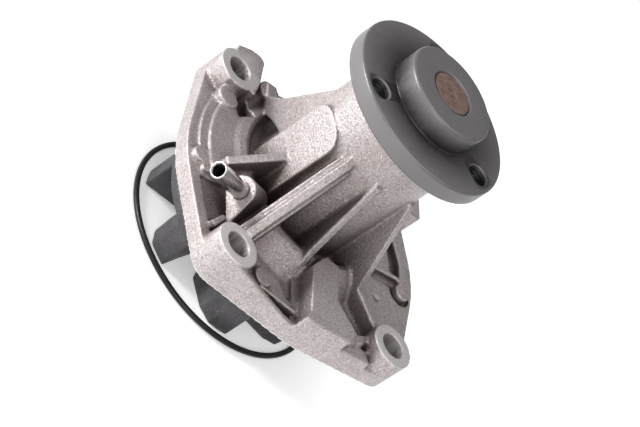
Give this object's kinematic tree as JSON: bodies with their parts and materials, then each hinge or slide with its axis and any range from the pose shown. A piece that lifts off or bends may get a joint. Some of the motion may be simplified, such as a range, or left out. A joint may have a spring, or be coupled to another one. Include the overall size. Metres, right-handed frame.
{
  "type": "engine water pump",
  "caption": "Engine coolant pump: cast aluminium housing with bolt flange, steel drive hub on a ball and roller bearing shaft, face seal, vaned iron impeller, bleed nipple and loose O-ring.",
  "frame": {"origin": "shaft axis at the flange's mounting face, the root of the spigot", "axes": "+Z along the shaft towards the drive hub; the lower pair of bolt holes lies at -Y; +X to the right seen from the hub with -Y down"},
  "size_m": [0.1027, 0.1016, 0.1038],
  "materials": {
    "cast_aluminium": "blasted die casting",
    "plated_steel": "bright plated",
    "black_steel": "turned, black oxide",
    "rusted_steel": "ground steel with light rust",
    "bearing_steel": "ground",
    "polished_steel": "polished",
    "cage_plastic": "moulded",
    "black_rubber": "moulded",
    "o_ring_rubber": "smooth satin",
    "grey_iron": "sand cast",
    "seal_brass": "pressed",
    "carbon": "lapped carbon",
    "ceramic": "lapped ceramic"
  },
  "bodies": {
    "housing": {"pump_housing": "cast_aluminium", "coolant_nipple": "plated_steel", "bearing_outer_ring": "bearing_steel", "front_bearing_seal": "black_rubber", "rear_bearing_seal": "black_rubber", "seal_cup": "seal_brass", "seal_bellows": "black_rubber", "seal_spring": "plated_steel", "spring_retainer": "plated_steel", "carbon_ring": "carbon", "carbon_ring_holder": "plated_steel"},
    "rotor": {"drive_hub": "black_steel", "pump_shaft": "rusted_steel", "impeller": "grey_iron", "ceramic_ring": "ceramic", "ceramic_ring_boot": "black_rubber"},
    "ball_row": {"bearing_balls": "polished_steel", "ball_cage": "cage_plastic"},
    "roller_row": {"bearing_rollers": "polished_steel", "roller_cage": "cage_plastic"},
    "seal_ring": {"o_ring": "o_ring_rubber"}
  },
  "joints": [
    {"name": "rotor_spin", "type": "hinge", "parent": "housing", "child": "rotor", "pos_m": [0, 0, 0], "axis": [0, 0, 1], "continuous": true},
    {"name": "ball_row_spin", "type": "hinge", "parent": "housing", "child": "ball_row", "pos_m": [0, 0, 0.045], "axis": [0, 0, 1], "continuous": true},
    {"name": "roller_row_spin", "type": "hinge", "parent": "housing", "child": "roller_row", "pos_m": [0, 0, 0.027], "axis": [0, 0, 1], "continuous": true},
    {"name": "o_ring_fitting", "type": "slide", "parent": "housing", "child": "seal_ring", "axis": [0, 0, 1], "range_m": [0, 0.0279]}
  ],
  "couplings": [
    {"joint": "ball_row_spin", "follows": "rotor_spin", "ratio": 0.375},
    {"joint": "roller_row_spin", "follows": "rotor_spin", "ratio": 0.3926}
  ]
}
